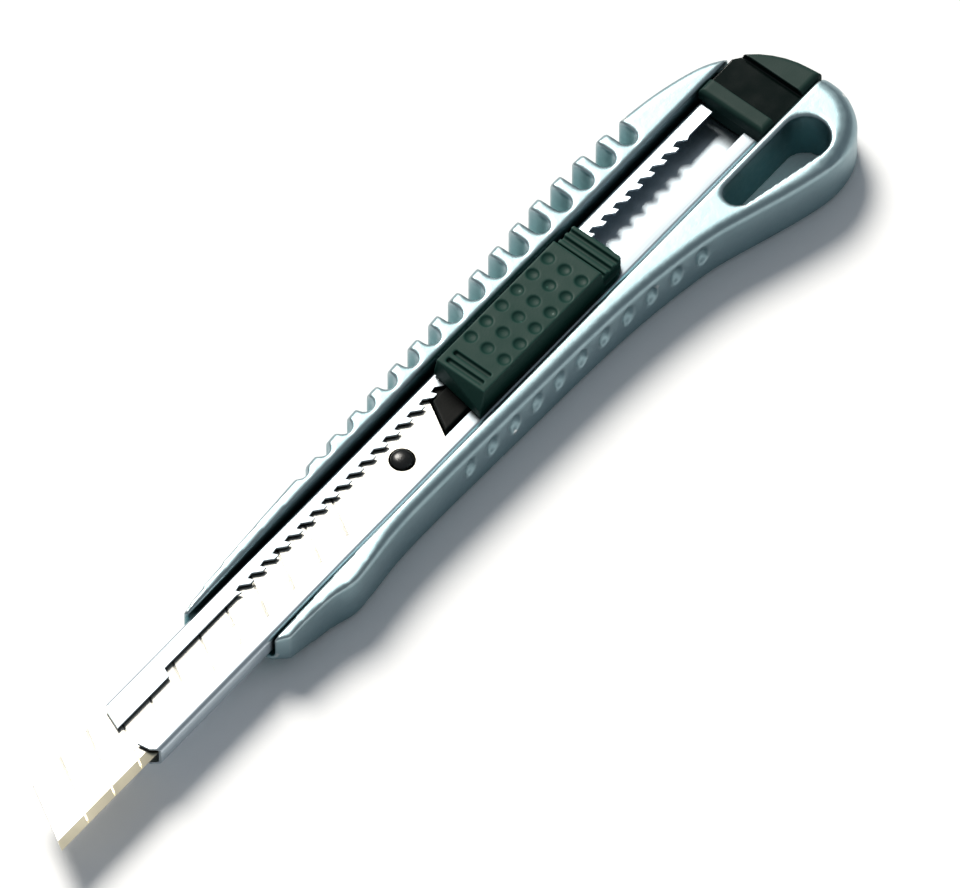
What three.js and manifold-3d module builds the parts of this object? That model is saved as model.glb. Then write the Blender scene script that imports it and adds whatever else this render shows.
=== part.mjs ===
// A snap-off utility knife with a die-cast handle, in millimetres.
// The knife lies on its back: +X runs from the blade tip to the rear end, +Y to the fluted
// side and +Z up. Stations along X are counted from the blade tip, and the finished group is
// moved so that the origin is on the handle's underside, ORIGIN_STATION behind the tip.
import * as THREE from 'three'
import { mergeVertices } from 'three/addons/utils/BufferGeometryUtils.js'
import Module from 'manifold-3d'

const wasm = await Module()
wasm.setup()

// ---------------------------------------------------------------- driving dimensions

const ORIGIN_STATION = 75
const GAP = 0.1 // clearance between pieces that sit against each other
const PAST = 1 // how far a cutting tool runs past the face that it opens
const BEHIND = 160 // a station behind the whole knife
const ASIDE = 20 // farther from the middle line than any piece
const CURVE_STEPS = 4 // straight steps between two points of a long curve

// handle
const HANDLE_TOP = 8.6
const HANDLE_EDGE = 1 // radius of the handle's long top and bottom edges
const GROOVE_HALF = 5.4
const GROOVE_FLOOR = 3.3
const NOSE_STATION = 36
const BLANK_STATION = 28 // the handle is drawn from here and its nose is cut to shape
const FLUTES = { count: 16, pitch: 4.34, last: 126.1, radius: 1.15, root: 6.65 }
const SCALLOPS = {
  count: 11, pitch: 4.3, first: 76.5, halfWidth: 1.05, depth: 0.7, halfHeight: 1.75, z: 5.4,
}
const LANYARD = { narrow: [128.3, -8.35, 1.87], wide: [140.3, -9.63, 3.15] } // station, Y, radius

// The handle seen from above: the blade-edge side from nose to rear, then back on the fluted side.
const EDGE_SIDE = [
  [BLANK_STATION, -6.8], [41.6, -6.85], [45.5, -6.95], [49.6, -7.35], [53, -8.2], [57, -7.95],
  [63, -7.35], [72, -7.3], [87, -7.6], [100, -7.9], [109, -8.4], [116, -9.2], [122, -10.25],
  [128, -12.05], [134, -13.85], [139.3, -14.95], [143.7, -14.5], [147, -12.6], [148.9, -9.8],
  [149.5, -7], [149.2, -4.4],
]
const FLUTED_SIDE = [
  [149.2, -4.4], [148.3, -1.6], [146.7, 1.5], [144.9, 4], [143.1, 6], [140.2, 7.65], [135.4, 9.05],
  [130.6, 9.9], [125, 10.45], [119, 10.8], [113, 10.85], [105, 10.45], [92, 9.55], [80, 8.8],
  [70, 8.15], [60, 7.5], [50, 6.95], [42, 6.55], [NOSE_STATION, 5.95], [BLANK_STATION, 5],
]
// Around the rear end the top edge is rounder: this outline meets the handle's there only.
const REAR_EDGE = 2.2
const REAR_OUTLINE = [
  [108, -13], [116, -13.1], [122, -13.6], [128, -14.5], [134, -15.3], [139.5, -15.5],
  [143.9, -14.5], [147, -12.6], [148.9, -9.8], [149.5, -7], [149.2, -4.4], [148.4, -1.6],
  [147.3, 1.5], [146.2, 4.3], [144.5, 6.8], [141.4, 9.3], [136, 11.6], [129, 13],
]
// The front end of the handle seen from above, from the edge side to the fluted side.
const NOSE_FRONT = [
  [42.2, -7.2], [41.4, -6.6], [39.9, -GROOVE_HALF], [38, 0], [36.6, GROOVE_HALF], [NOSE_STATION, 6.4],
]
// The handle seen from the side: top edge and underside of the nose, as station and height.
const NOSE_TOP = [
  [BLANK_STATION, 6.2], [NOSE_STATION, 6.9], [41, 7.3], [46, 7.7], [52, 8.15], [58, 8.5],
  [64, HANDLE_TOP],
]
const NOSE_UNDER = [
  [60, 0], [54, 0.15], [49, 0.6], [45, 1.3], [41.5, 2.3], [NOSE_STATION, 3.9], [BLANK_STATION, 6],
]

// steel channel, a C section lying in the groove
const CHANNEL = { front: 17.75, rear: 144, half: 4.9, bottom: 3.4, top: 6.8, sheet: 0.35, bend: 0.7 }
const FLANGE_END = 136.7
const SLOT_HALF = 2.55
const NOSE_LIP = { end: 28, upper: 1.37, lower: -1.9 } // where the slot is narrower, at the nose
const RACK = { first: 43.7, pitch: 2.4, count: 37, root: 3.2, tip: 2.3 }

// blade
const BLADE = { half: 4.5, thick: 0.4, length: 81.6, mid: 5.95, bevel: 1.2, pitch: 5.2, scores: 11 }
const SLANT = Math.tan(THREE.MathUtils.degToRad(30)) // score lines stand at 60 degrees to the edge
const SCORE = { width: 0.3, depth: 0.12 }
const PIN = { station: 71.6, y: -0.3, hole: 1.75, collar: 1.5, shank: 1, top: 6.9 }

// slide
const CARRIER = { bottom: 3.9, wide: 6.3, neckHalf: 2.05, neck: 6.95, rear: 109 }
const TONGUE = { front: 67, rear: 90, half: 3.9, top: 5.65 }
const KNOB = {
  frontLeft: 82.1, frontRight: 83.6, rear: 111.6, half: 4.35, base: 7, rim: 8.3, corner: 2.6,
}
const PAD = { front: 83.5, rear: 106.7, half: 3.85, top: 11 }
const STEP = { rear: 111, half: 3.9, top: 9.4 }
const DIMPLES = {
  rows: 3, columns: 6, first: 88.9, pitchX: 3.05, pitchY: 2.7, radius: 0.85, depth: 0.3,
}
const CROSS_GROOVES = { first: 84.45, pitch: 1.4, count: 2, width: 0.7, depth: 0.5, half: 2.9 }
const STEP_RIBS = { first: 107.75, pitch: 1.3, count: 3, width: 0.6, height: 0.5 }
const PEGS = [[87.5, -1.15], [106, 0]] // station and Y of the knob's pegs in the carrier
const PEG_RADIUS = 0.75
const PEG_FLOOR = 0.6 // depth of carrier left under a peg

// lock spring, a leaf standing on edge with its tooth in the rack
const SPRING = { root: 103, y: 1.2, thick: 0.35, bottom: 4.6, top: 6.1 }
const REST_NOTCH = 18 // the notch that the tooth is in when the blade is out as drawn
const TOOTH_STATION = RACK.first + REST_NOTCH * RACK.pitch
const TOOTH = { ahead: 0.22, thick: 1 } // how far it reaches in front of its station, and behind it
const POCKET = { front: 85.6, rear: 99.5, low: -0.2, high: 2.6 }

// end cap and rivets
const CAP = { front: 137.1, half: 5.25, steps: 7, top: 8.9, round: 0.8 }
// The cap's rear end, from the edge side to the fluted side. It overhangs the handle a little, so
// that a fingernail can pull it out.
const CAP_REAR = [[149, -CAP.half], [148.5, -1.6], [147.4, 1.3], [145.7, 3.8], [143.9, CAP.half]]
const CAP_RECESS = { front: 139.5, rear: 145, floor: 7.9 }
const RIVETS = [50, 141]
const RIVET = { shank: 1.2, head: 1.9, headHeight: 0.9, inside: 3.72 }

// ---------------------------------------------------------------- helpers

// A closed three.js geometry as a solid that can be joined and cut.
function solid(geometry) {
  const bare = geometry.clone()
  bare.deleteAttribute('normal')
  bare.deleteAttribute('uv')
  const merged = mergeVertices(bare, 1e-5)
  return new wasm.Manifold(new wasm.Mesh({
    numProp: 3,
    vertProperties: new Float32Array(merged.attributes.position.array),
    triVerts: new Uint32Array(merged.index.array),
  }))
}

// A solid as a named three.js mesh.
function piece(name, body, color, roughness, metalness) {
  const mesh = body.getMesh()
  const geometry = new THREE.BufferGeometry()
  const places = new Float32Array(mesh.vertProperties)
  geometry.setAttribute('position', new THREE.BufferAttribute(places, 3))
  geometry.setIndex(new THREE.BufferAttribute(new Uint32Array(mesh.triVerts), 1))
  geometry.computeVertexNormals()
  const material = new THREE.MeshStandardMaterial({ color, roughness, metalness })
  const result = new THREE.Mesh(geometry, material)
  result.name = name
  return result
}

function outline(points) {
  return new THREE.Shape(points.map(([a, b]) => new THREE.Vector2(a, b)))
}

// The points of a path without repeats or points in line with both neighbours.
function corners(path, curveSegments) {
  const points = path.getPoints(curveSegments)
  const apart = points.filter((point, i) => point.distanceTo(points[(i + 1) % points.length]) > 1e-4)
  return apart.filter((point, i) => {
    const before = apart.at(i - 1)
    const after = apart[(i + 1) % apart.length]
    const turn = point.clone().sub(before).normalize().cross(after.clone().sub(point).normalize())
    return Math.abs(turn) > 1e-4
  })
}

// A shape drawn in the X-Y plane as a solid, given its extrusion options.
function extruded(shape, options) {
  const straight = new THREE.Shape(corners(shape, options.curveSegments))
  straight.holes = shape.holes.map((hole) => new THREE.Path(corners(hole, options.curveSegments)))
  return new THREE.ExtrudeGeometry(straight, { bevelEnabled: false, ...options })
}

// A shape drawn in the X-Y plane, raised from one height to another.
function plate(shape, low, high, curveSegments = 12) {
  return solid(extruded(shape, { depth: high - low, curveSegments }).translate(0, 0, low))
}

// A shape drawn in the X-Z plane, carried across the knife from one Y to another.
function profile(shape, low, high, curveSegments = 12) {
  const geometry = extruded(shape, { depth: high - low, curveSegments })
  return solid(geometry.rotateX(Math.PI / 2).translate(0, high, 0))
}

// A section drawn in the Y-Z plane, carried along the knife from one station to another.
function bar(shape, front, rear, curveSegments = 4) {
  const geometry = extruded(shape, { depth: rear - front, curveSegments })
  return solid(geometry.rotateX(Math.PI / 2).rotateZ(Math.PI / 2).translate(front, 0, 0))
}

function block(front, rear, left, right, low, high) {
  const geometry = new THREE.BoxGeometry(rear - front, right - left, high - low)
  return solid(geometry.translate((front + rear) / 2, (left + right) / 2, (low + high) / 2))
}

// A block whose foot and top are each { z, half, rear, front: [on the edge side, on the fluted side] }.
function wedge(foot, top) {
  const geometry = new THREE.BoxGeometry(2, 2, 2)
  const place = geometry.attributes.position
  for (let i = 0; i < place.count; i++) {
    const level = place.getZ(i) < 0 ? foot : top
    const side = place.getY(i) < 0 ? 0 : 1
    const x = place.getX(i) < 0 ? level.front[side] : level.rear
    place.setXYZ(i, x, place.getY(i) * level.half, level.z)
  }
  return solid(geometry)
}

function drum(radius, station, y, low, high, sides = 24) {
  const geometry = new THREE.CylinderGeometry(radius, radius, high - low, sides)
  return solid(geometry.rotateX(Math.PI / 2).translate(station, y, (low + high) / 2))
}

function ellipsoid(x, y, z, radiusX, radiusY, radiusZ, sides = 12) {
  const geometry = new THREE.SphereGeometry(1, sides, sides / 2)
  return solid(geometry.rotateX(Math.PI / 2).scale(radiusX, radiusY, radiusZ).translate(x, y, z))
}

// Y of the edge of the handle at a station, read between the outline's points.
function edgeAt(points, station) {
  const i = points.findIndex(([x]) => x > station)
  const [[x0, y0], [x1, y1]] = [points[i - 1], points[i]]
  return y0 + ((y1 - y0) * (station - x0)) / (x1 - x0)
}

// A strip across the knife that leans like the blade's score lines.
function slanted(station, halfWidth, halfLength) {
  const lean = halfLength * SLANT
  return outline([
    [station - halfWidth - lean, -halfLength], [station + halfWidth - lean, -halfLength],
    [station + halfWidth + lean, halfLength], [station - halfWidth + lean, halfLength],
  ])
}

// ---------------------------------------------------------------- handle

function splinePath(start, ...runs) {
  const path = new THREE.Shape()
  path.moveTo(...start)
  for (const run of runs) path.splineThru(run.map(([a, b]) => new THREE.Vector2(a, b)))
  return path
}

// A plan shape raised from one height to another, with its top and bottom edges rounded.
function cushion(plan, low, high, radius) {
  const geometry = extruded(plan, {
    depth: high - low - 2 * radius,
    curveSegments: CURVE_STEPS,
    bevelEnabled: true,
    bevelThickness: radius,
    bevelSize: radius,
    bevelOffset: -radius,
    bevelSegments: 4,
  })
  return solid(geometry.translate(0, 0, low + radius))
}

function handleBlank() {
  const plan = splinePath(EDGE_SIDE[0], EDGE_SIDE.slice(1), FLUTED_SIDE.slice(1))
  const rear = splinePath(REAR_OUTLINE[0], REAR_OUTLINE.slice(1))
  rear.lineTo(BLANK_STATION - 2 * REAR_EDGE, ASIDE)
  rear.lineTo(BLANK_STATION - 2 * REAR_EDGE, REAR_OUTLINE[0][1])
  return cushion(plan, 0, HANDLE_TOP, HANDLE_EDGE)
    .intersect(cushion(rear, -2 * REAR_EDGE, HANDLE_TOP, REAR_EDGE))
}

// Everything in front of the handle's nose.
function noseCut() {
  const [low, high] = [NOSE_FRONT[0], NOSE_FRONT[NOSE_FRONT.length - 1]]
  const ahead = BLANK_STATION - PAST
  const around = [[high[0], ASIDE], [ahead, ASIDE], [ahead, -ASIDE], [low[0], -ASIDE]]
  return plate(outline([...NOSE_FRONT, ...around]), -PAST, HANDLE_TOP + PAST)
}

// Everything between the nose's lowered top edge and its raised underside.
function sideEnvelope() {
  const side = splinePath(NOSE_UNDER[0], NOSE_UNDER.slice(1))
  side.lineTo(...NOSE_TOP[0])
  side.splineThru(NOSE_TOP.slice(1).map(([a, b]) => new THREE.Vector2(a, b)))
  side.lineTo(BEHIND, HANDLE_TOP)
  side.lineTo(BEHIND, 0)
  side.closePath()
  return profile(side, -ASIDE, ASIDE, CURVE_STEPS)
}

// One cut of the thumb grip: a slot with a round root, from the fluted side inwards.
function flute(station) {
  const { radius, root } = FLUTES
  const slot = new THREE.Shape()
  slot.moveTo(station + radius, ASIDE)
  slot.lineTo(station - radius, ASIDE)
  slot.lineTo(station - radius, root + radius)
  slot.absarc(station, root + radius, radius, Math.PI, 2 * Math.PI, false)
  slot.closePath()
  return plate(slot, -PAST, HANDLE_TOP + PAST, 6)
}

// A shallow oval hollow in the wall on the edge side.
function scallop(station) {
  const { halfWidth, depth, halfHeight, z } = SCALLOPS
  const wall = edgeAt(EDGE_SIDE, station)
  return ellipsoid(station, wall, z, halfWidth, depth, halfHeight)
}

// The teardrop for a lanyard: two arcs joined by the lines that touch both.
function lanyardHole() {
  const [x0, y0, r0] = LANYARD.narrow
  const [x1, y1, r1] = LANYARD.wide
  const along = Math.atan2(y1 - y0, x1 - x0)
  const turn = Math.acos((r0 - r1) / Math.hypot(x1 - x0, y1 - y0))
  const hole = new THREE.Shape()
  hole.absarc(x0, y0, r0, along + turn, along - turn + 2 * Math.PI, false)
  hole.absarc(x1, y1, r1, along - turn, along + turn, false)
  hole.closePath()
  return plate(hole, -PAST, HANDLE_TOP + PAST, 16)
}

function rivetHole(station) {
  const { shank, head, headHeight } = RIVET
  return drum(shank + GAP, station, 0, -PAST, GROOVE_FLOOR + PAST)
    .add(drum(head + GAP, station, 0, -PAST, underside(station) + headHeight + GAP))
}

function underside(station) {
  return station > NOSE_UNDER[0][0] ? 0 : edgeAt([...NOSE_UNDER].reverse(), station)
}

function dieCastHandle() {
  let body = handleBlank().intersect(sideEnvelope()).subtract(noseCut())
  const groove = [-GROOVE_HALF, GROOVE_HALF, GROOVE_FLOOR, HANDLE_TOP + PAST]
  body = body.subtract(block(NOSE_STATION - PAST, BEHIND, ...groove))
  for (let i = 0; i < FLUTES.count; i++) body = body.subtract(flute(FLUTES.last - i * FLUTES.pitch))
  for (let i = 0; i < SCALLOPS.count; i++) {
    body = body.subtract(scallop(SCALLOPS.first + i * SCALLOPS.pitch))
  }
  body = body.subtract(lanyardHole())
  for (const station of RIVETS) body = body.subtract(rivetHole(station))
  return piece('die_cast_handle', body, 0xc9ced1, 0.38, 0.9)
}

function channelRivet(name, station) {
  const { shank, head, headHeight, inside } = RIVET
  const low = underside(station)
  const body = drum(shank, station, 0, low + 0.05, inside)
    .add(drum(head, station, 0, low + 0.05, low + headHeight))
    .add(drum(head, station, 0, CHANNEL.bottom + 0.02, inside))
  return piece(name, body, 0xb9bdc0, 0.35, 1)
}

// ---------------------------------------------------------------- channel

// The C section before its slot is cut: a flat tube with bent corners.
function channelSection() {
  const rounded = (half, low, high, radius) => {
    const ring = new THREE.Shape()
    ring.absarc(half - radius, low + radius, radius, -Math.PI / 2, 0, false)
    ring.absarc(half - radius, high - radius, radius, 0, Math.PI / 2, false)
    ring.absarc(radius - half, high - radius, radius, Math.PI / 2, Math.PI, false)
    ring.absarc(radius - half, low + radius, radius, Math.PI, 1.5 * Math.PI, false)
    ring.closePath()
    return ring
  }
  const { half, bottom, top, sheet, bend } = CHANNEL
  const section = rounded(half, bottom, top, bend)
  section.holes.push(rounded(half - sheet, bottom + sheet, top - sheet, bend - sheet))
  return section
}

// The slot between the two flanges, with the rack's notches along its fluted side.
function slotOutline() {
  const { root, tip, first, pitch, count } = RACK
  const { end, upper, lower } = NOSE_LIP
  const points = [
    [CHANNEL.front - PAST, lower], [end, lower], [end + 0.5, -SLOT_HALF],
    [BEHIND, -SLOT_HALF], [BEHIND, SLOT_HALF], [first + (count - 1) * pitch + 2, SLOT_HALF],
  ]
  for (let i = count - 1; i >= 0; i--) {
    const station = first + i * pitch
    points.push([station + 1.3, tip], [station + 0.2, root])
    points.push([station - 0.7, root - 0.12], [station - 0.35, tip])
  }
  points.push([first - 1.2, SLOT_HALF], [end + 0.5, SLOT_HALF])
  points.push([end, upper], [CHANNEL.front - PAST, upper])
  return outline(points)
}

// What is left of the channel's nose: its front edge leans like the blade and has round corners.
function noseTrim() {
  const { front, half } = CHANNEL
  return outline([
    [front - PAST, -half - PAST], [front + 1.5, -half - PAST], [front + 1, -half + 0.4],
    [front + 0.3, -half + 1.2], [front, NOSE_LIP.lower], [front, NOSE_LIP.upper - 0.3],
    [front + 0.35, NOSE_LIP.upper + 0.4], [front + 1.35, half - 0.7], [front + 2.1, half - 0.2],
    [front + 2.6, half + PAST], [front - PAST, half + PAST],
  ])
}

function bladeChannel() {
  const { front, rear, half, bottom, top, sheet } = CHANNEL
  let body = bar(channelSection(), front, rear)
  body = body.subtract(plate(slotOutline(), top - sheet - 0.2, top + PAST))
  const wide = half + PAST
  body = body.subtract(block(FLANGE_END, rear + PAST, -wide, wide, top - sheet - 0.4, top + PAST))
  body = body.subtract(plate(noseTrim(), bottom - PAST, top + PAST))
  for (const station of RIVETS) {
    body = body.subtract(drum(RIVET.head + GAP, station, 0, bottom - PAST, bottom + PAST))
  }
  return piece('blade_channel', body, 0xd8dadb, 0.28, 1)
}

// ---------------------------------------------------------------- blade

function snapOffBlade() {
  const { half, thick, length, mid, bevel, pitch, scores } = BLADE
  const flat = thick / 2
  const section = outline([
    [-half, mid - 0.02], [bevel - half, mid - flat], [half, mid - flat],
    [half, mid + flat], [bevel - half, mid + flat], [-half, mid + 0.02],
  ])
  const lean = 2 * half * SLANT
  const plan = outline([[0, -half], [length - lean, -half], [length, half], [lean, half]])
  let body = bar(section, -PAST, length + PAST).intersect(plate(plan, mid - thick, mid + thick))
  for (let i = 1; i <= scores; i++) {
    const score = slanted(lean / 2 + i * pitch, SCORE.width / 2, half + PAST)
    body = body.subtract(plate(score, mid + flat - SCORE.depth, mid + thick))
  }
  body = body.subtract(drum(PIN.hole, PIN.station, PIN.y, mid - thick, mid + thick))
  return piece('snap_off_blade', body, 0xe2e4e6, 0.2, 1)
}

// ---------------------------------------------------------------- slide

// The carrier's front edge follows the blade's tail.
function carrierPlan(half) {
  const { half: bladeHalf, length } = BLADE
  const middle = length - bladeHalf * SLANT + 0.3
  return outline([
    [middle - half * SLANT, -half], [CARRIER.rear, -half],
    [CARRIER.rear, half], [middle + half * SLANT, half],
  ])
}

function bladeCarrier() {
  const { bottom, wide, neckHalf, neck } = CARRIER
  const inner = CHANNEL.half - CHANNEL.sheet - GAP
  const { front, rear, low, high } = POCKET
  const { y, thick, root } = SPRING
  const floor = SPRING.bottom - GAP
  let body = plate(carrierPlan(inner), bottom, wide)
    .add(plate(carrierPlan(neckHalf), wide - PAST, neck))
    .add(block(TONGUE.front, TONGUE.rear, -TONGUE.half, TONGUE.half, bottom, TONGUE.top))
    .subtract(block(front, rear, low, high, floor, neck + PAST))
    .subtract(block(rear - PAST, root + PAST, y - 0.4, y + thick + GAP, floor, neck + PAST))
  for (const [station, side] of PEGS) {
    body = body.subtract(drum(PEG_RADIUS + GAP, station, side, bottom + PEG_FLOOR, neck + PAST))
  }
  body = body.subtract(drum(PIN.shank + GAP, PIN.station, PIN.y, bottom - PAST, neck))
  return piece('blade_carrier', body, 0x1c1f1f, 0.45, 0)
}

function bladePin() {
  const { station, y, collar, shank, top } = PIN
  const dome = ellipsoid(station, y, TONGUE.top + 0.6, collar, collar, top - TONGUE.top - 0.6, 20)
  const body = drum(shank, station, y, CARRIER.bottom + GAP, TONGUE.top + 0.2)
    .add(drum(collar, station, y, TONGUE.top + 0.02, TONGUE.top + 0.6, 20))
    .add(dome.intersect(block(station - 3, station + 3, y - 3, y + 3, TONGUE.top + 0.4, top + PAST)))
  return piece('blade_pin', body, 0x232626, 0.35, 0.6)
}

// The knob's footprint: its front edge leans, and its rear corners are round.
function knobPlan() {
  const { frontLeft, frontRight, rear, half, corner } = KNOB
  const plan = new THREE.Shape()
  plan.moveTo(frontLeft, -half)
  plan.lineTo(rear - corner, -half)
  plan.absarc(rear - corner, corner - half, corner, -Math.PI / 2, 0, false)
  plan.absarc(rear - corner, half - corner, corner, 0, Math.PI / 2, false)
  plan.lineTo(frontRight, half)
  plan.closePath()
  return plan
}

function thumbSlide() {
  const { frontLeft, frontRight, half, base, rim } = KNOB
  const padFoot = { z: rim - GAP, half, rear: PAD.rear + 0.2, front: [frontLeft, frontRight] }
  const padTop = { z: PAD.top, half: PAD.half, rear: PAD.rear, front: [PAD.front, PAD.front] }
  let step = block(PAD.rear - PAST, STEP.rear, -STEP.half, STEP.half, rim - GAP, STEP.top)
  for (let i = 0; i < STEP_RIBS.count; i++) {
    const front = STEP_RIBS.first + i * STEP_RIBS.pitch - STEP_RIBS.width / 2
    const rear = front + STEP_RIBS.width
    step = step.add(block(front, rear, -STEP.half, STEP.half, rim, STEP.top + STEP_RIBS.height))
  }
  let body = plate(knobPlan(), base, rim, 6).add(wedge(padFoot, padTop))
  body = body.add(step.intersect(plate(knobPlan(), base, PAD.top, 6)))
  for (let i = 0; i < CROSS_GROOVES.count; i++) {
    const { first, pitch, width, depth, half: reach } = CROSS_GROOVES
    const front = first + i * pitch - width / 2
    const heights = [PAD.top - depth, PAD.top + PAST]
    body = body.subtract(block(front, front + width, -reach, reach, ...heights))
  }
  for (let row = 0; row < DIMPLES.rows; row++) {
    for (let column = 0; column < DIMPLES.columns; column++) {
      const x = DIMPLES.first + column * DIMPLES.pitchX
      const y = (row - (DIMPLES.rows - 1) / 2) * DIMPLES.pitchY
      const { radius, depth } = DIMPLES
      body = body.subtract(ellipsoid(x, y, PAD.top, radius, radius, depth, 10))
    }
  }
  const foot = CARRIER.bottom + PEG_FLOOR + 4 * GAP
  for (const [station, y] of PEGS) body = body.add(drum(PEG_RADIUS, station, y, foot, base + 2 * GAP))
  return piece('thumb_slide', body, 0x232a29, 0.5, 0)
}

// The leaf is bent up at its front end, where its tooth reaches into a notch of the rack.
function lockSpring() {
  const { root, y, thick, bottom, top } = SPRING
  const tip = CHANNEL.top + 0.05
  const front = TOOTH_STATION - TOOTH.ahead
  const rear = TOOTH_STATION + TOOTH.thick
  const tooth = outline([
    [front, y], [rear, y], [rear, y + 0.8], [TOOTH_STATION + 0.15, RACK.root - 0.25],
    [front, RACK.root - 0.3],
  ])
  const body = block(front, root, y, y + thick, bottom, top)
    .add(block(front, rear + TOOTH.thick, y, y + thick, bottom, tip))
    .add(plate(tooth, CHANNEL.top - CHANNEL.sheet, tip))
  return piece('lock_spring', body, 0x9aa0a3, 0.3, 1)
}

// ---------------------------------------------------------------- end cap

function capPlan() {
  const { front, half, steps } = CAP
  const arc = new THREE.SplineCurve(CAP_REAR.map(([a, b]) => new THREE.Vector2(a, b)))
  const rounded = arc.getSpacedPoints(steps).map(({ x, y }) => [x, y])
  return outline([[front, -half], ...rounded, [front, half]])
}

// The cap fills the end of the groove, and a plug under it fills the channel's end.
function endCap() {
  const { front, half, top, round } = CAP
  const { bottom, sheet, rear } = CHANNEL
  const plugHalf = CHANNEL.half - sheet - GAP
  const above = CHANNEL.top + GAP
  const wide = half + PAST
  const whole = cushion(capPlan(), bottom, top, round)
  const under = plate(capPlan(), bottom, above + round, CURVE_STEPS)
  const heights = [bottom + sheet + GAP, above + 0.2]
  const plug = block(front + 0.4, rear + PAST, -plugHalf, plugHalf, ...heights)
  const body = whole.intersect(block(front - PAST, BEHIND, -wide, wide, above, top + PAST))
    .add(under.intersect(block(rear + 0.3, BEHIND, -half, half, GROOVE_FLOOR + GAP, above + round)))
    .add(plug)
    .subtract(block(CAP_RECESS.front, CAP_RECESS.rear, -wide, wide, CAP_RECESS.floor, top + PAST))
  return piece('end_cap', body, 0x141817, 0.5, 0)
}

// ---------------------------------------------------------------- assembly

const knife = new THREE.Group()
knife.add(
  dieCastHandle(),
  bladeChannel(),
  channelRivet('front_channel_rivet', RIVETS[0]),
  channelRivet('rear_channel_rivet', RIVETS[1]),
  snapOffBlade(),
  bladeCarrier(),
  bladePin(),
  thumbSlide(),
  lockSpring(),
  endCap(),
)
knife.position.x = -ORIGIN_STATION

export default knife
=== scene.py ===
# %% [markdown]
# # A snap-off utility knife
#
# The knife is a die-cast handle with a pressed steel channel in it. A thumb slide carries a scored
# blade along the channel, and a moulded cap closes the rear end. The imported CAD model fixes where
# everything is. This lesson gives each piece its softened edges, its repeated details and its
# finish, and then lights the knife on a pale table.

import math

import bmesh
import bpy
from mathutils import Matrix, Vector


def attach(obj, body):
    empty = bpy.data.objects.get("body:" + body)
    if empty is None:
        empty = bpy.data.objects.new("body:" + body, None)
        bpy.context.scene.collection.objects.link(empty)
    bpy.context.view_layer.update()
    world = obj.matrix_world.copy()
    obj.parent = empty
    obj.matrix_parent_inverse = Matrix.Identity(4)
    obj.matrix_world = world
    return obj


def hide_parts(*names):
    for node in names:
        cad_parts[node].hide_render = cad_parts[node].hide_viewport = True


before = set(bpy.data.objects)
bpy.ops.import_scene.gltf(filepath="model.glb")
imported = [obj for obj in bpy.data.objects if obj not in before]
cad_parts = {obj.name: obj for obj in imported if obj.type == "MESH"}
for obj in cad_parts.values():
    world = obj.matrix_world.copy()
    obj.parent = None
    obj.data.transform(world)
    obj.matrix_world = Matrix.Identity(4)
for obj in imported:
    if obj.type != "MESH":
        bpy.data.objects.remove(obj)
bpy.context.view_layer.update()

# %% [markdown]
# ## Units and small helpers
#
# Blender works in metres here, but booleans and remeshing behave best when sizes are near 1. So each
# piece is worked in millimetres, and goes back to metres when it is finished.

# %% Units
MM = 0.001
JOIN_WITHIN = 0.002  # mm: corners closer than this are one corner
FLAT_WITHIN = 1  # degrees between triangles of one flat face
EDGE_ANGLE = 40  # degrees: a sharper turn is an edge to break
FOLD_ANGLE = 35  # degrees: a sheet's bends stay smooth, its cut edges sharp
GROUND_ANGLE = 5  # degrees: even the blade's shallow ground edge stays crisp


def linear(hex_colour):
    """An sRGB hex colour as the linear RGBA that shaders use."""
    channels = [int(hex_colour[i:i + 2], 16) / 255 for i in (1, 3, 5)]
    return [c / 12.92 if c <= 0.04045 else ((c + 0.055) / 1.055) ** 2.4 for c in channels] + [1]


def per_mm(size):
    """The scale of a texture whose features are this many millimetres apart."""
    return 1 / (size * MM)


print("one texture cell of 0.5 mm has scale", per_mm(0.5))


# %% One function adds any node
# Several sockets of a Mix node share a name, so its colour sockets go by number.
COLOUR_A, COLOUR_B, COLOUR_OUT = 6, 7, 2


def add(tree, kind, links=None, **settings):
    """Adds a node, sets its properties, and gives its inputs values or links."""
    node = tree.nodes.new(kind)
    for name, value in settings.items():
        setattr(node, name, value)
    for name, value in (links or {}).items():
        if isinstance(value, bpy.types.Node):
            value = value.outputs[0]
        if isinstance(value, bpy.types.NodeSocket):
            tree.links.new(value, node.inputs[name])
        else:
            node.inputs[name].default_value = value
    return node


# %% A copy of a CAD node to work on
def workpiece(node, flat_faces=False):
    """A copy of a CAD node in millimetres, with its loose triangles joined into one skin."""
    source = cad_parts[node].data
    mesh = bpy.data.meshes.new(node + "_work")
    corners = [vertex.co / MM for vertex in source.vertices]
    mesh.from_pydata(corners, [], [polygon.vertices[:] for polygon in source.polygons])
    build = bmesh.new()
    build.from_mesh(mesh)
    bmesh.ops.remove_doubles(build, verts=build.verts, dist=JOIN_WITHIN)
    if flat_faces:
        bmesh.ops.dissolve_limit(
            build, angle_limit=math.radians(FLAT_WITHIN), verts=build.verts, edges=build.edges
        )
    bmesh.ops.recalc_face_normals(build, faces=build.faces)
    build.to_mesh(mesh)
    build.free()
    work = bpy.data.objects.new(node + "_work", mesh)
    bpy.context.scene.collection.objects.link(work)
    return work


# %% Soften a piece the way casting and moulding do
def soften(work, cell, passes):
    """Remeshes a piece in cells of this many millimetres and rounds its edges by smoothing."""
    remesh = work.modifiers.new("even skin", "REMESH")
    remesh.mode = "VOXEL"
    remesh.voxel_size = cell
    smooth = work.modifiers.new("rounded edges", "SMOOTH")
    smooth.factor = 0.5
    smooth.iterations = passes


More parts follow.
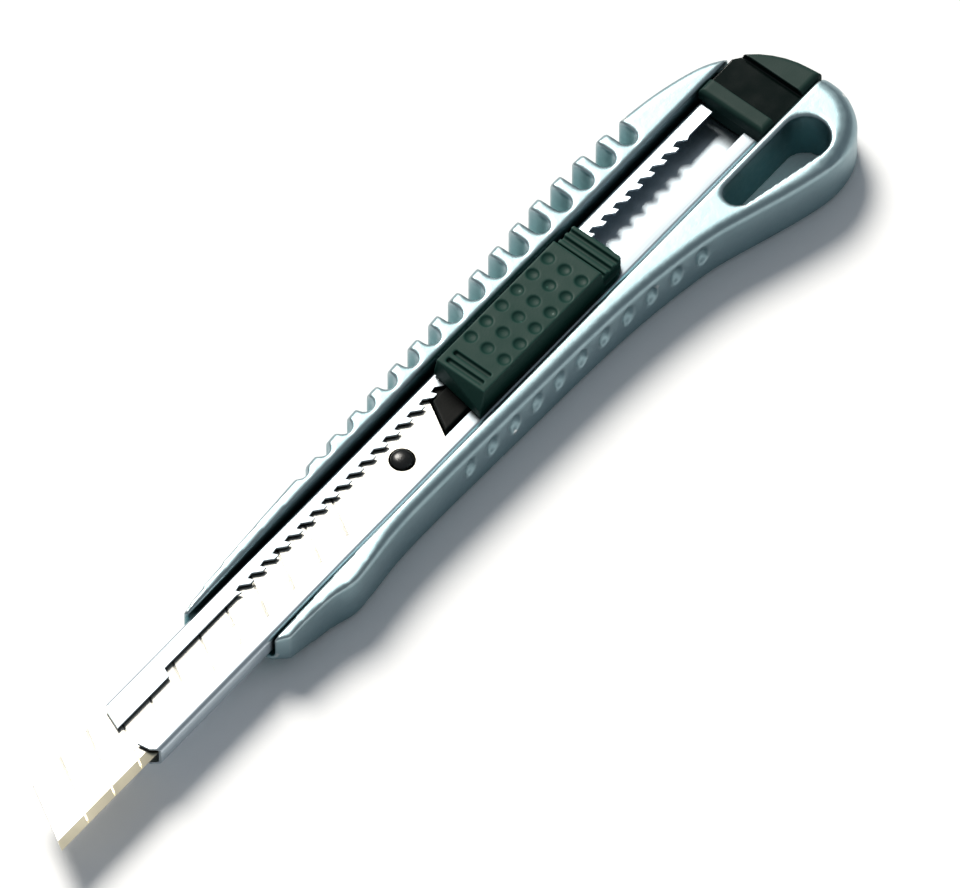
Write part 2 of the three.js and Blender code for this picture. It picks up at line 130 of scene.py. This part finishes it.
def chamfer(work, width, segments=2):
    """Rounds the sharp edges of a pressed or ground piece by this many millimetres."""
    bevel = work.modifiers.new("broken edges", "BEVEL")
    bevel.width = width
    bevel.segments = segments
    bevel.limit_method = "ANGLE"
    bevel.angle_limit = math.radians(EDGE_ANGLE)
    bevel.use_clamp_overlap = False
    bevel.harden_normals = False


# %% Finish a piece
def finish_piece(work, name, node, body, finish, sharp=None):
    """Makes the worked copy a plain mesh in metres that stands for its CAD node."""
    shown = work.evaluated_get(bpy.context.evaluated_depsgraph_get())
    mesh = bpy.data.meshes.new_from_object(shown)
    bpy.data.objects.remove(work)
    mesh.name = name
    mesh.transform(Matrix.Scale(MM, 4))
    mesh.materials.clear()
    mesh.materials.append(finish)
    mesh.shade_smooth()
    if sharp:
        mesh.set_sharp_from_angle(angle=math.radians(sharp))
    piece = bpy.data.objects.new(name, mesh)
    bpy.context.scene.collection.objects.link(piece)
    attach(piece, body)
    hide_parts(node)
    mesh.calc_loop_triangles()
    print(name, "has", len(mesh.loop_triangles), "triangles")


# %% [markdown]
# ## Camera
#
# A very long lens, from 4 m away, looks down on the knife from beyond its cutting edge. At that
# distance the two ends of the knife are drawn to the same scale, as in a catalogue picture. The
# target is a little in front of the middle of the handle, so that the blade's tip and the lanyard
# hole are equally far from the frame's corners.

# %% Camera
AZIMUTH = math.radians(-50.7)
ELEVATION = math.radians(56.4)
TARGET = Vector((0.0052, -0.00586, 0.005))
DISTANCE = 4
VIEW_WIDTH = 0.1201
SENSOR = 36

towards_camera = Vector((
    math.sin(AZIMUTH) * math.cos(ELEVATION),
    -math.cos(AZIMUTH) * math.cos(ELEVATION),
    math.sin(ELEVATION),
))
lens = bpy.data.cameras.new("long_lens")
lens.sensor_width = SENSOR
lens.lens = SENSOR * DISTANCE / VIEW_WIDTH
lens.clip_start = 0.01
camera = bpy.data.objects.new("camera", lens)
camera.location = TARGET + towards_camera * DISTANCE
camera.rotation_euler = towards_camera.to_track_quat("Z", "Y").to_euler()
bpy.context.scene.collection.objects.link(camera)
bpy.context.scene.camera = camera
print("focal length", round(lens.lens), "mm")

# %% [markdown]
# ## Finishes
#
# Each finish starts from what the real material is and how its surface was made. Patterns read
# Object coordinates, so they stay still on a piece when it moves, and their scales come from real
# sizes in millimetres.


# %% A new material with its shader
def new_finish(name, **values):
    """A material with one Principled shader, whose constant inputs are set by name."""
    material = bpy.data.materials.new(name)
    material.use_nodes = True
    tree = material.node_tree
    tree.nodes.clear()
    shader = add(tree, "ShaderNodeBsdfPrincipled")
    for socket, value in values.items():
        shader.inputs[socket.replace("_", " ")].default_value = value
    add(tree, "ShaderNodeOutputMaterial", {"Surface": shader})
    place = add(tree, "ShaderNodeTexCoord").outputs["Object"]
    return material, tree, shader, place


# %% [markdown]
# ### Die-cast zinc alloy, tumbled
#
# The handle is poured into a steel die and then tumbled with stones. The surface is satin, with a
# faint orange peel. Stones and hands rub its raised edges bright, which the Pointiness output finds
# on a dense mesh. In the flutes, the hole and other recesses, which an Ambient Occlusion node finds,
# the colour is painted darker as shade.


# %% Die-cast zinc
TUMBLED_SHINE = -0.1  # what rubbing takes off the roughness


def die_cast_zinc():
    material, tree, shader, place = new_finish("die_cast_zinc_tumbled", Metallic=1.0)
    cloud = add(tree, "ShaderNodeTexNoise", {"Vector": place, "Scale": per_mm(9), "Detail": 3})
    skin = add(tree, "ShaderNodeTexNoise", {"Vector": place, "Scale": per_mm(0.9), "Detail": 4})
    grain = add(tree, "ShaderNodeTexNoise", {"Vector": place, "Scale": per_mm(0.18), "Detail": 2})
    edge = add(tree, "ShaderNodeNewGeometry").outputs["Pointiness"]
    rubbed = add(tree, "ShaderNodeMapRange", {
        "Value": edge, "From Min": 0.51, "From Max": 0.62, "To Min": 0, "To Max": 1})
    # Painted shade: where the AO node finds little open sky (flutes, hole, groove), the colour is
    # darkened towards #5a898e.
    open_sky = add(tree, "ShaderNodeAmbientOcclusion", {"Distance": 9 * MM}, samples=6)
    hollow_shade_mask = add(tree, "ShaderNodeMapRange", {
        "Value": open_sky.outputs["AO"], "From Min": 0.65, "From Max": 0.35,
        "To Min": 0, "To Max": 1})
    tone = add(tree, "ShaderNodeMix", {
        "Factor": cloud, COLOUR_A: linear("#869fa6"), COLOUR_B: linear("#9ab0b6")},
        data_type="RGBA")
    worn = add(tree, "ShaderNodeMix", {
        "Factor": rubbed, COLOUR_A: tone.outputs[COLOUR_OUT], COLOUR_B: linear("#c9d1d1")},
        data_type="RGBA")
    with_hollow_shade = add(tree, "ShaderNodeMix", {
        "Factor": hollow_shade_mask, COLOUR_A: worn.outputs[COLOUR_OUT], COLOUR_B: linear("#5a898e")},
        data_type="RGBA")
    tree.links.new(with_hollow_shade.outputs[COLOUR_OUT], shader.inputs["Base Color"])
    rough = add(tree, "ShaderNodeMapRange", {
        "Value": skin, "From Min": 0.3, "From Max": 0.7, "To Min": 0.36, "To Max": 0.45})
    polished = add(tree, "ShaderNodeMath", {
        0: rubbed, 1: TUMBLED_SHINE, 2: rough}, operation="MULTIPLY_ADD")
    tree.links.new(polished.outputs[0], shader.inputs["Roughness"])
    height = add(tree, "ShaderNodeMath", {0: grain, 1: 0.35, 2: skin}, operation="MULTIPLY_ADD")
    bump = add(tree, "ShaderNodeBump", {"Strength": 0.5, "Distance": 0.03 * MM, "Height": height})
    tree.links.new(bump.outputs[0], shader.inputs["Normal"])
    return material


cast_metal = die_cast_zinc()
print("made", cast_metal.name)

# %% [markdown]
# ### Drawn steel
#
# Sheet, blade and spring are all rolled or ground, which leaves fine parallel lines. The same
# pattern serves all of them: a noise stretched along the lines. The channel's lines run with its
# length, and a blade is ground across its edge. Real lines are about 0.02 mm apart, too fine to
# show, so they are drawn 0.12 mm apart. Narrow gaps where two pieces of steel run close, and the
# blade's score lines, are painted near black as shade where an Ambient Occlusion node with a short
# reach finds them.


# %% Steel with parallel lines
HONED_SHINE = -0.06  # what the fine stone takes off the roughness
# Painted shade in gaps: how quickly the steel turns to painted black as open sky falls.
GAP_SHADE_BLEND = 0.3  # from clean steel to black, as a share of open sky


def lined_steel(name, dark, light, roughness, stretch, line=0.12, bevel=None, gaps=0.72):
    material, tree, shader, place = new_finish(name, Metallic=1.0, Anisotropic=0.4)
    aim = add(tree, "ShaderNodeMapping", {"Vector": place, "Scale": stretch})
    lines = add(tree, "ShaderNodeTexNoise", {"Vector": aim, "Scale": per_mm(line), "Detail": 3})
    handling = add(tree, "ShaderNodeTexNoise", {"Vector": place, "Scale": per_mm(6), "Detail": 4})
    tone = add(tree, "ShaderNodeMix", {
        "Factor": lines, COLOUR_A: linear(dark), COLOUR_B: linear(light)}, data_type="RGBA")
    colour = tone.outputs[COLOUR_OUT]
    low, high = roughness
    blend = add(tree, "ShaderNodeMath", {0: lines, 1: 0.4, 2: handling}, operation="MULTIPLY_ADD")
    rough = add(tree, "ShaderNodeMapRange", {
        "Value": blend, "From Min": 0.45, "From Max": 0.95, "To Min": low, "To Max": high})
    finish = rough.outputs[0]
    if bevel:
        across = add(tree, "ShaderNodeSeparateXYZ", {"Vector": place}).outputs["Y"]
        honed = add(tree, "ShaderNodeMath", {0: across, 1: bevel * MM}, operation="LESS_THAN")
        bright = add(tree, "ShaderNodeMix", {
            "Factor": honed, COLOUR_A: colour, COLOUR_B: linear("#d0c9b2")}, data_type="RGBA")
        colour = bright.outputs[COLOUR_OUT]
        fine = add(tree, "ShaderNodeMath", {
            0: honed, 1: HONED_SHINE, 2: finish}, operation="MULTIPLY_ADD")
        finish = fine.outputs[0]
    # Painted shade: narrow gaps and score lines, found by a short AO, are darkened towards #161b1c.
    gap = add(tree, "ShaderNodeAmbientOcclusion", {"Distance": 0.9 * MM}, samples=6)
    gap_shade_mask = add(tree, "ShaderNodeMapRange", {
        "Value": gap.outputs["AO"], "From Min": gaps, "From Max": gaps - GAP_SHADE_BLEND,
        "To Min": 0, "To Max": 1})
    with_gap_shade = add(tree, "ShaderNodeMix", {
        "Factor": gap_shade_mask, COLOUR_A: colour, COLOUR_B: linear("#161b1c")}, data_type="RGBA")
    tree.links.new(with_gap_shade.outputs[COLOUR_OUT], shader.inputs["Base Color"])
    tree.links.new(finish, shader.inputs["Roughness"])
    bump = add(tree, "ShaderNodeBump", {"Strength": 0.35, "Distance": 0.01 * MM, "Height": lines})
    tree.links.new(bump.outputs[0], shader.inputs["Normal"])
    return material


channel_steel = lined_steel(
    "rolled_steel_nickel_plated", "#b8c5cd", "#c6d0d7", (0.36, 0.44), (0.02, 1, 1))
blade_steel = lined_steel(
    "carbon_steel_ground", "#bdbcb6", "#cecdc7", (0.34, 0.44), (1, 0.03, 1),
    bevel=-3.3, gaps=0.5)
spring_steel = lined_steel(
    "spring_steel_rolled", "#8f979b", "#b4babd", (0.22, 0.36), (0.03, 1, 1))
rivet_metal = lined_steel(
    "aluminium_rivet_headed", "#b3b8bb", "#d0d4d6", (0.3, 0.42), (1, 1, 1), line=0.3)
print("made 4 metals")

# %% [markdown]
# ### Moulded plastic
#
# The slide, the carrier and the cap are injection moulded. Their dies are spark eroded, so the
# plastic has a fine pebble texture, about 0.2 mm from pebble to pebble. Edges that a thumb rubs are
# shinier and a little lighter, and hollows, where Pointiness is low, get painted shade. The cap's
# die is etched for the rib and the tail and polished in between, so those two bands scatter more light.


# %% Moulded plastic
THUMB_SHINE = -0.12  # what a thumb takes off the roughness
ETCHED_DULL = 0.42  # what etching of the die adds to it


def moulded(
        name, base, rubbed_tone, hollow_shade_tone, roughness, pebble=0.2, specular=0.5, polished=None):
    material, tree, shader, place = new_finish(name, IOR=1.5, Specular_IOR_Level=specular)
    grain = add(tree, "ShaderNodeTexVoronoi", {"Vector": place, "Scale": per_mm(pebble)})
    cloud = add(tree, "ShaderNodeTexNoise", {"Vector": place, "Scale": per_mm(3), "Detail": 4})
    edge = add(tree, "ShaderNodeNewGeometry").outputs["Pointiness"]
    rubbed = add(tree, "ShaderNodeMapRange", {
        "Value": edge, "From Min": 0.51, "From Max": 0.58, "To Min": 0, "To Max": 1})
    # Painted shade: concave spots, where Pointiness is low, are darkened towards the hollow shade tone.
    hollow_shade_mask = add(tree, "ShaderNodeMapRange", {
        "Value": edge, "From Min": 0.49, "From Max": 0.42, "To Min": 0, "To Max": 0.6})
    worn = add(tree, "ShaderNodeMix", {
        "Factor": rubbed, COLOUR_A: linear(base), COLOUR_B: linear(rubbed_tone)}, data_type="RGBA")
    with_hollow_shade = add(tree, "ShaderNodeMix", {
        "Factor": hollow_shade_mask, COLOUR_A: worn.outputs[COLOUR_OUT], COLOUR_B: linear(hollow_shade_tone)},
        data_type="RGBA")
    tree.links.new(with_hollow_shade.outputs[COLOUR_OUT], shader.inputs["Base Color"])
    low, high = roughness
    rough = add(tree, "ShaderNodeMapRange", {
        "Value": cloud, "From Min": 0.3, "From Max": 0.7, "To Min": low, "To Max": high})
    shiny = add(tree, "ShaderNodeMath", {
        0: rubbed, 1: THUMB_SHINE, 2: rough}, operation="MULTIPLY_ADD")
    height = grain.outputs["Distance"]
    if polished:
        along = add(tree, "ShaderNodeSeparateXYZ", {"Vector": place}).outputs["X"]
        start, end = (station * MM for station in polished)
        before = add(tree, "ShaderNodeMath", {0: along, 1: start}, operation="LESS_THAN")
        beyond = add(tree, "ShaderNodeMath", {0: along, 1: end}, operation="GREATER_THAN")
        etched = add(tree, "ShaderNodeMath", {0: before, 1: beyond}, operation="MAXIMUM")
        shiny = add(tree, "ShaderNodeMath", {
            0: etched, 1: ETCHED_DULL, 2: shiny}, operation="MULTIPLY_ADD")
        height = add(tree, "ShaderNodeMath", {0: etched, 1: height}, operation="MULTIPLY")
        grey = add(tree, "ShaderNodeMix", {
            "Factor": etched, COLOUR_A: with_hollow_shade.outputs[COLOUR_OUT], COLOUR_B: linear("#15302b")},
            data_type="RGBA")
        tree.links.new(grey.outputs[COLOUR_OUT], shader.inputs["Base Color"])
    tree.links.new(shiny.outputs[0], shader.inputs["Roughness"])
    bump = add(tree, "ShaderNodeBump", {
        "Strength": 0.35, "Distance": 0.02 * MM, "Height": height})
    tree.links.new(bump.outputs[0], shader.inputs["Normal"])
    return material


# The fourth colour of each black finish is the painted shade in its hollows.
slide_plastic = moulded(
    "abs_moulded_textured", "#12362f", "#2c4f47", "#020605", (0.5, 0.6), specular=0.2)
carrier_plastic = moulded(
    "acetal_moulded", "#040706", "#121a18", "#020303", (0.5, 0.6), pebble=0.3, specular=0.1)
cap_plastic = moulded(
    "abs_moulded_two_textures", "#04100e", "#182a27", "#020605", (0.1, 0.16), specular=0.2,
    polished=(64.4, 70.1))
pin_steel = moulded(
    "pin_black_oxide", "#0b0d0d", "#4a5150", "#070808", (0.24, 0.34), pebble=0.35)
print("made 4 black finishes")

# %% [markdown]
# ## Rows of cuts with Geometry Nodes
#
# Four details on this knife repeat: the lips of the thumb flutes, the finger scallops, the dimples
# on the slide and the score lines on the blade. In each, a cutter is made from a simple solid, one
# instance of it is put on each point of a row, and a Mesh Boolean takes them all from the body. A
# tree of nodes keeps the pitch and count as inputs, so a row can be changed without modelling again.


# %% A node tree with named inputs
def cutting_tree(name, inputs):
    """A Geometry Nodes tree with a body coming in, a body going out, and these named inputs."""
    tree = bpy.data.node_groups.new(name, "GeometryNodeTree")
    kinds = {int: "NodeSocketInt", float: "NodeSocketFloat", tuple: "NodeSocketVector"}
    tree.interface.new_socket("Body", in_out="INPUT", socket_type="NodeSocketGeometry")
    for label, value in inputs.items():
        socket = tree.interface.new_socket(label, in_out="INPUT", socket_type=kinds[type(value)])
        socket.default_value = value
    tree.interface.new_socket("Finish", in_out="INPUT", socket_type="NodeSocketMaterial")
    tree.interface.new_socket("Cut body", in_out="OUTPUT", socket_type="NodeSocketGeometry")
    return tree, add(tree, "NodeGroupInput").outputs


def cut_row(tree, given, points, cutter, **placing):
    """Ends a tree: a cutter on each point, taken from the body, realized and given its material."""
    row = add(tree, "GeometryNodeInstanceOnPoints", {"Points": points, "Instance": cutter, **placing})
    cut = add(tree, "GeometryNodeMeshBoolean", {0: given["Body"], 1: row},
              operation="DIFFERENCE", solver="EXACT")
    plain = add(tree, "GeometryNodeRealizeInstances", {"Geometry": cut.outputs["Mesh"]})
    coated = add(tree, "GeometryNodeSetMaterial", {"Geometry": plain, "Material": given["Finish"]})
    add(tree, "NodeGroupOutput", {0: coated})


def run_tree(work, tree, inputs, finish):
    """Puts a tree on a workpiece and sets its inputs by their sockets' identifiers."""
    modifier = work.modifiers.new(tree.name, "NODES")
    modifier.node_group = tree
    values = {**inputs, "Finish": finish}
    for item in tree.interface.items_tree:
        if item.in_out == "INPUT" and item.name in values:
            modifier[item.identifier] = values[item.name]
    print(tree.name, inputs)


# %% [markdown]
# ## Handle
#
# The casting is one piece: two walls, the groove's floor, sixteen flutes for the thumb, and eleven
# scallops on the other side. Sharp inside corners don't fill well in a die, so every edge is round.
# A voxel remesh with smoothing gives that softness all over, which bevelling could not do where
# flutes run into the rounded top edge. Before that, each flute gets a flared lip: the convex hull of
# two cones, one at the flute's root and one beyond the wall.

# %% Lips of the flutes
LIP_LENGTH = 0.5  # mm that a cone is long
PAST_WALL = 6  # mm from the flute's root to the outer cone, beyond the wall
FLUTES = {"Count": 16, "Pitch": -4.34, "First": (51.1, 7.8, 8.25), "Radius": 1.15, "Flare": 0.45}


def flute_lips():
    tree, given = cutting_tree("flute_lips", FLUTES)
    wide = add(tree, "ShaderNodeMath", {0: given["Radius"], 1: given["Flare"]}, operation="ADD")
    cone = add(tree, "GeometryNodeMeshCone", {
        "Vertices": 24, "Radius Top": wide, "Radius Bottom": given["Radius"],
        "Depth": LIP_LENGTH})
    outer = add(tree, "GeometryNodeTransform", {"Geometry": cone, "Translation": (0, PAST_WALL, 0)})
    both = add(tree, "GeometryNodeJoinGeometry", {"Geometry": cone})
    tree.links.new(outer.outputs[0], both.inputs[0])
    slot = add(tree, "GeometryNodeConvexHull", {"Geometry": both})
    step = add(tree, "ShaderNodeCombineXYZ", {"X": given["Pitch"]})
    row = add(tree, "GeometryNodeMeshLine", {
        "Count": given["Count"], "Start Location": given["First"], "Offset": step}, mode="OFFSET")
    cut_row(tree, given, row, slot)
    return tree


# %% Finger scallops, placed by rays that find the wall
UNIT_BALL = {"Segments": 32, "Rings": 20, "Radius": 1.0}
RAY_REACH = 60.0  # mm, right through the handle
SCALLOPS = {
    "Count": 11, "Pitch": 4.3, "First": (1.5, -25.0, 3.2), "Lift": 2.2,
    "Size": (1.05, 0.74, 1.75),
}


def finger_scallops():
    tree, given = cutting_tree("finger_scallops", SCALLOPS)
    step = add(tree, "ShaderNodeCombineXYZ", {"X": given["Pitch"]})
    row = add(tree, "GeometryNodeMeshLine", {
        "Count": given["Count"], "Start Location": given["First"], "Offset": step}, mode="OFFSET")
    wall = add(tree, "GeometryNodeRaycast", {
        "Target Geometry": given["Body"], "Ray Direction": (0, 1, 0), "Ray Length": RAY_REACH})
    on_wall = add(tree, "GeometryNodeSetPosition", {
        "Geometry": row, "Position": wall.outputs["Hit Position"],
        "Offset": add(tree, "ShaderNodeCombineXYZ", {"Z": given["Lift"]})})
    ball = add(tree, "GeometryNodeMeshUVSphere", UNIT_BALL)
    cut_row(tree, given, on_wall, ball, Scale=given["Size"])
    return tree


# %% Make the handle
HANDLE_CELL = 0.28  # mm: fine enough for a flute's lip; it gives about 207,000 triangles

handle_work = workpiece("die_cast_handle")
run_tree(handle_work, flute_lips(), FLUTES, cast_metal)
run_tree(handle_work, finger_scallops(), SCALLOPS, cast_metal)
soften(handle_work, cell=HANDLE_CELL, passes=4)
finish_piece(
    handle_work, "cast_handle", "die_cast_handle", "handle", cast_metal)

# %% [markdown]
# ## Channel and rivets
#
# The channel is 0.35 mm sheet, pressed into a C. Its cut edges are barely broken, so a bevel of a few
# hundredths of a millimetre catches the light as the real edge does. The rivets are turned heads
# with a rounded rim.

# %% Make the channel
channel_work = workpiece("blade_channel", flat_faces=True)
chamfer(channel_work, width=0.03, segments=1)
finish_piece(
    channel_work, "steel_channel", "blade_channel", "handle", channel_steel,
    sharp=FOLD_ANGLE)

# %% Make the rivets
for end in ("front", "rear"):
    rivet_work = workpiece(end + "_channel_rivet")
    soften(rivet_work, cell=0.1, passes=3)
    finish_piece(
        rivet_work, end + "_rivet", end + "_channel_rivet", "handle", rivet_metal)

# %% [markdown]
# ## Blade
#
# The blade is a strip of hard steel with a score line every 5.2 mm, leaning at 60 degrees, along
# which a worn segment snaps off. A rolled or pressed score is a V, so the cutter is a long bar
# turned by 45 degrees about its length.

# %% Score lines
BAR_LENGTH = 13.0  # mm, past both edges of the leaning blade
SCORES = {
    "Count": 11, "Pitch": 5.2, "First": (-67.2, 0.0, 6.18), "Lean": math.radians(-30),
    "Width": 0.3,
}


def score_lines():
    tree, given = cutting_tree("score_lines", SCORES)
    size = add(tree, "ShaderNodeCombineXYZ", {"X": given["Width"], "Y": BAR_LENGTH, "Z": given["Width"]})
    bar = add(tree, "GeometryNodeMeshCube", {"Size": size})
    vee = add(tree, "GeometryNodeTransform", {"Geometry": bar, "Rotation": (0, math.radians(45), 0)})
    step = add(tree, "ShaderNodeCombineXYZ", {"X": given["Pitch"]})
    row = add(tree, "GeometryNodeMeshLine", {
        "Count": given["Count"], "Start Location": given["First"], "Offset": step}, mode="OFFSET")
    turn = add(tree, "ShaderNodeCombineXYZ", {"Z": given["Lean"]})
    cut_row(tree, given, row, vee, Rotation=turn)
    return tree


# %% Make the blade
blade_work = workpiece("snap_off_blade", flat_faces=True)
run_tree(blade_work, score_lines(), SCORES, blade_steel)
finish_piece(
    blade_work, "scored_blade", "snap_off_blade", "slide", blade_steel,
    sharp=GROUND_ANGLE)

# %% [markdown]
# ## Slide
#
# The knob is what the thumb pushes: a tall pad with eighteen dimples, two cross grooves at its front
# and a ribbed step behind. The dimples are shallow spherical hollows, so flattened balls on a grid
# of points cut them.

# %% Dimples
DIMPLES = {
    "Columns": 6, "Rows": 3, "Pitch along": 3.05, "Pitch across": 2.7,
    "Middle": (21.525, 0.0, 11.0), "Size": (0.86, 0.86, 0.34),
}


def thumb_dimples():
    tree, given = cutting_tree("thumb_dimples", DIMPLES)
    spans = []
    for count, pitch in (("Columns", "Pitch along"), ("Rows", "Pitch across")):
        gaps = add(tree, "ShaderNodeMath", {0: given[count], 1: 1}, operation="SUBTRACT")
        spans.append(add(tree, "ShaderNodeMath", {0: gaps, 1: given[pitch]}, operation="MULTIPLY"))
    grid = add(tree, "GeometryNodeMeshGrid", {
        "Size X": spans[0], "Size Y": spans[1],
        "Vertices X": given["Columns"], "Vertices Y": given["Rows"]})
    placed = add(tree, "GeometryNodeTransform", {"Geometry": grid, "Translation": given["Middle"]})
    ball = add(tree, "GeometryNodeMeshUVSphere", UNIT_BALL)
    cut_row(tree, given, placed, ball, Scale=given["Size"])
    return tree


# %% Make the knob, carrier and pin
knob_work = workpiece("thumb_slide")
run_tree(knob_work, thumb_dimples(), DIMPLES, slide_plastic)
soften(knob_work, cell=0.12, passes=4)
finish_piece(
    knob_work, "thumb_knob", "thumb_slide", "slide", slide_plastic)

carrier_work = workpiece("blade_carrier")
soften(carrier_work, cell=0.15, passes=2)
finish_piece(
    carrier_work, "slide_carrier", "blade_carrier", "slide", carrier_plastic)

pin_work = workpiece("blade_pin")
soften(pin_work, cell=0.08, passes=4)
finish_piece(pin_work, "domed_pin", "blade_pin", "slide", pin_steel)

spring_work = workpiece("lock_spring", flat_faces=True)
chamfer(spring_work, width=0.04)
finish_piece(
    spring_work, "leaf_spring", "lock_spring", "lock", spring_steel,
    sharp=FOLD_ANGLE)

# %% [markdown]
# ## End cap
#
# The cap closes the rear of the channel. It has a raised rib in front, a recess for the thumbnail
# and a tail that follows the handle's round end.

# %% Make the cap
cap_work = workpiece("end_cap")
soften(cap_work, cell=0.1, passes=2)
finish_piece(cap_work, "moulded_cap", "end_cap", "cap", cap_plastic)

# %% [markdown]
# ## Table and light
#
# A plain pale table, and one soft key light from beyond the fluted side. It stands close to where the
# camera's rays go when a flat face on top of the knife mirrors them, so the metal there turns bright,
# while walls that face the camera see only their own shadow. A sun lamp with a wide angle lights the
# whole table evenly, as a large soft box far away does. A dim cool sky fills the rest.

# %% Table
TABLE_DROP = 0.0001  # m below the knife, so that the two faces don't share a plane

table_mesh = bpy.data.meshes.new("table")
reach = 1.5  # m from the table's middle to each side
table_mesh.from_pydata(
    [(-reach, -reach, 0), (reach, -reach, 0), (reach, reach, 0), (-reach, reach, 0)],
    [], [(0, 1, 2, 3)])
table = bpy.data.objects.new("table", table_mesh)
table.location.z = -TABLE_DROP
bpy.context.scene.collection.objects.link(table)
paper, paper_tree, paper_shader, paper_place = new_finish("matt_paper", Roughness=0.9)
fibre = add(paper_tree, "ShaderNodeTexNoise", {"Vector": paper_place, "Scale": per_mm(4)})
pale = add(paper_tree, "ShaderNodeMix", {
    "Factor": fibre, COLOUR_A: linear("#f7f8fa"), COLOUR_B: linear("#fbfcfd")}, data_type="RGBA")
paper_tree.links.new(pale.outputs[COLOUR_OUT], paper_shader.inputs["Base Color"])
table_mesh.materials.append(paper)

# %% Light
KEY_FROM = Vector((0.25, 0.6, 0.76)).normalized()

key = bpy.data.lights.new("soft_key", "SUN")
key.angle = math.radians(26)
key.energy = 3.8
key.color = linear("#fffaf2")[:3]
key_light = bpy.data.objects.new("soft_key", key)
key_light.location = TARGET + KEY_FROM
key_light.rotation_euler = KEY_FROM.to_track_quat("Z", "Y").to_euler()
bpy.context.scene.collection.objects.link(key_light)

sky = bpy.data.worlds.new("studio")
sky.use_nodes = True
sky_shader = sky.node_tree.nodes["Background"]
sky_shader.inputs["Color"].default_value = linear("#d4dce4")
sky_shader.inputs["Strength"].default_value = 0.36
bpy.context.scene.world = sky
bpy.context.scene.view_settings.view_transform = "Standard"
print("lit")
